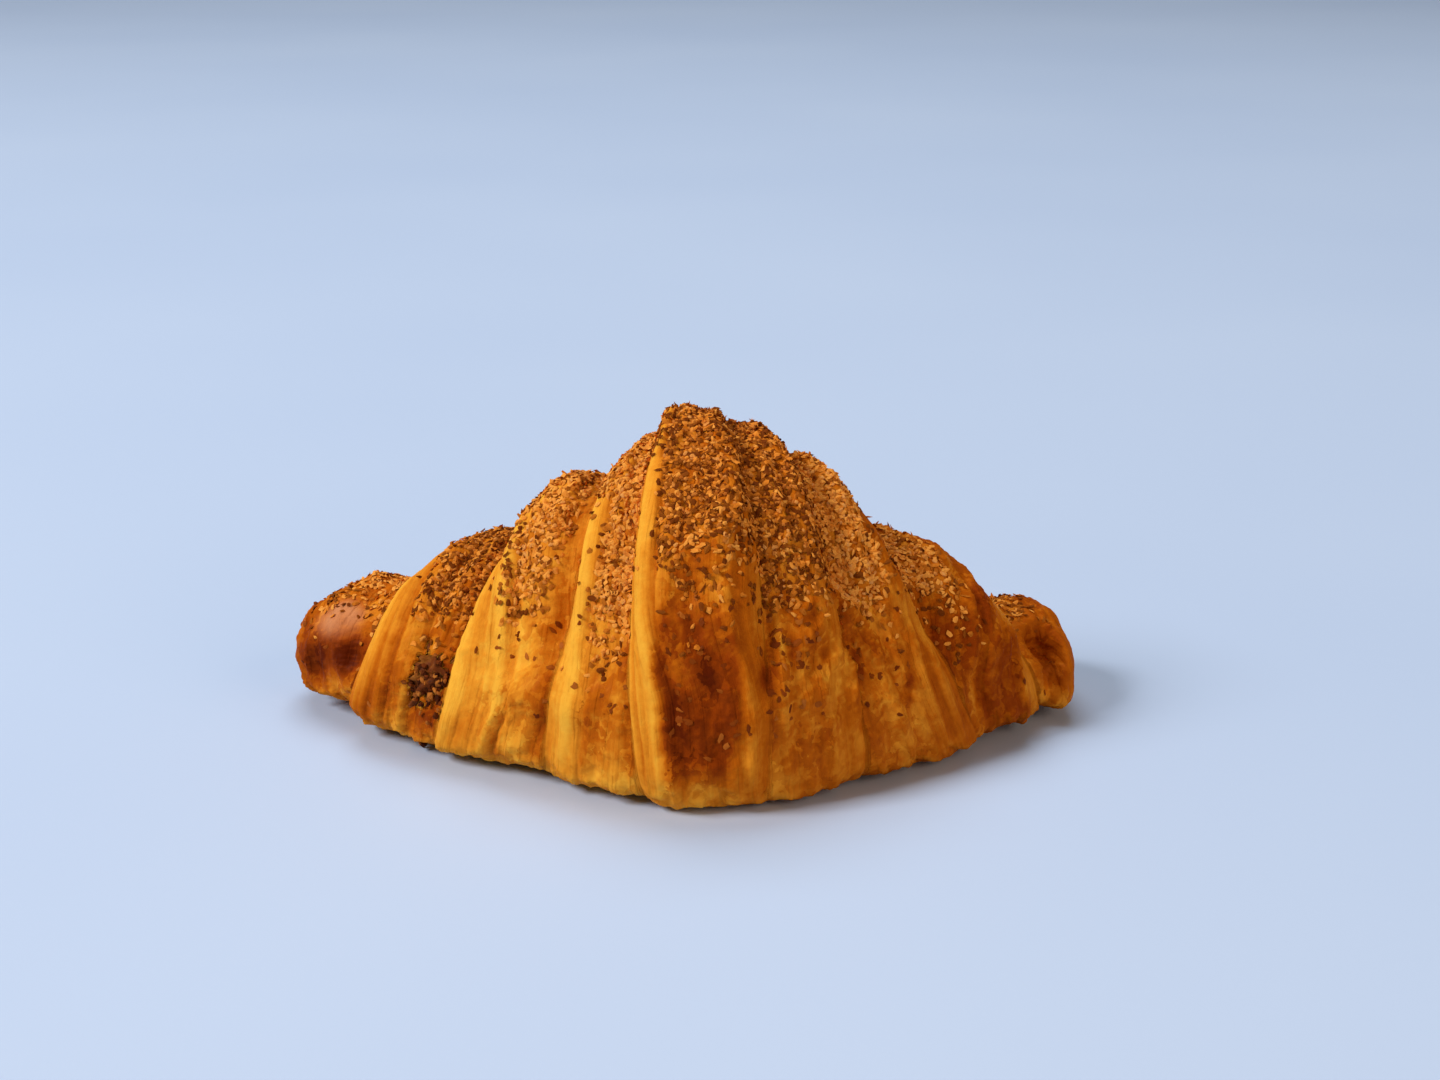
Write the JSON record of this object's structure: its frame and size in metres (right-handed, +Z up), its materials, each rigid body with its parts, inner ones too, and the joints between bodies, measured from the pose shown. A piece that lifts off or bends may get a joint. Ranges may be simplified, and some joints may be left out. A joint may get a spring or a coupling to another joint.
{
  "type": "croissant",
  "caption": "Plump crescent roll of wrapped dough with a ridged golden crust, strewn with dried herbs, and a herb filling that shows at one seam.",
  "frame": {"origin": "middle of the croissant's footprint, on the surface that it rests on", "axes": "+X from the left tip to the right tip seen from the bulging side, +Y from the bulging side to the hollow side, +Z up"},
  "size_m": [0.1574, 0.0848, 0.0678],
  "materials": {
    "crust": "baked dough crust, golden brown, satin",
    "filling": "dark herb paste, rough"
  },
  "bodies": {
    "root": {"croissant": "crust", "herb_filling": "filling"}
  },
  "joints": []
}
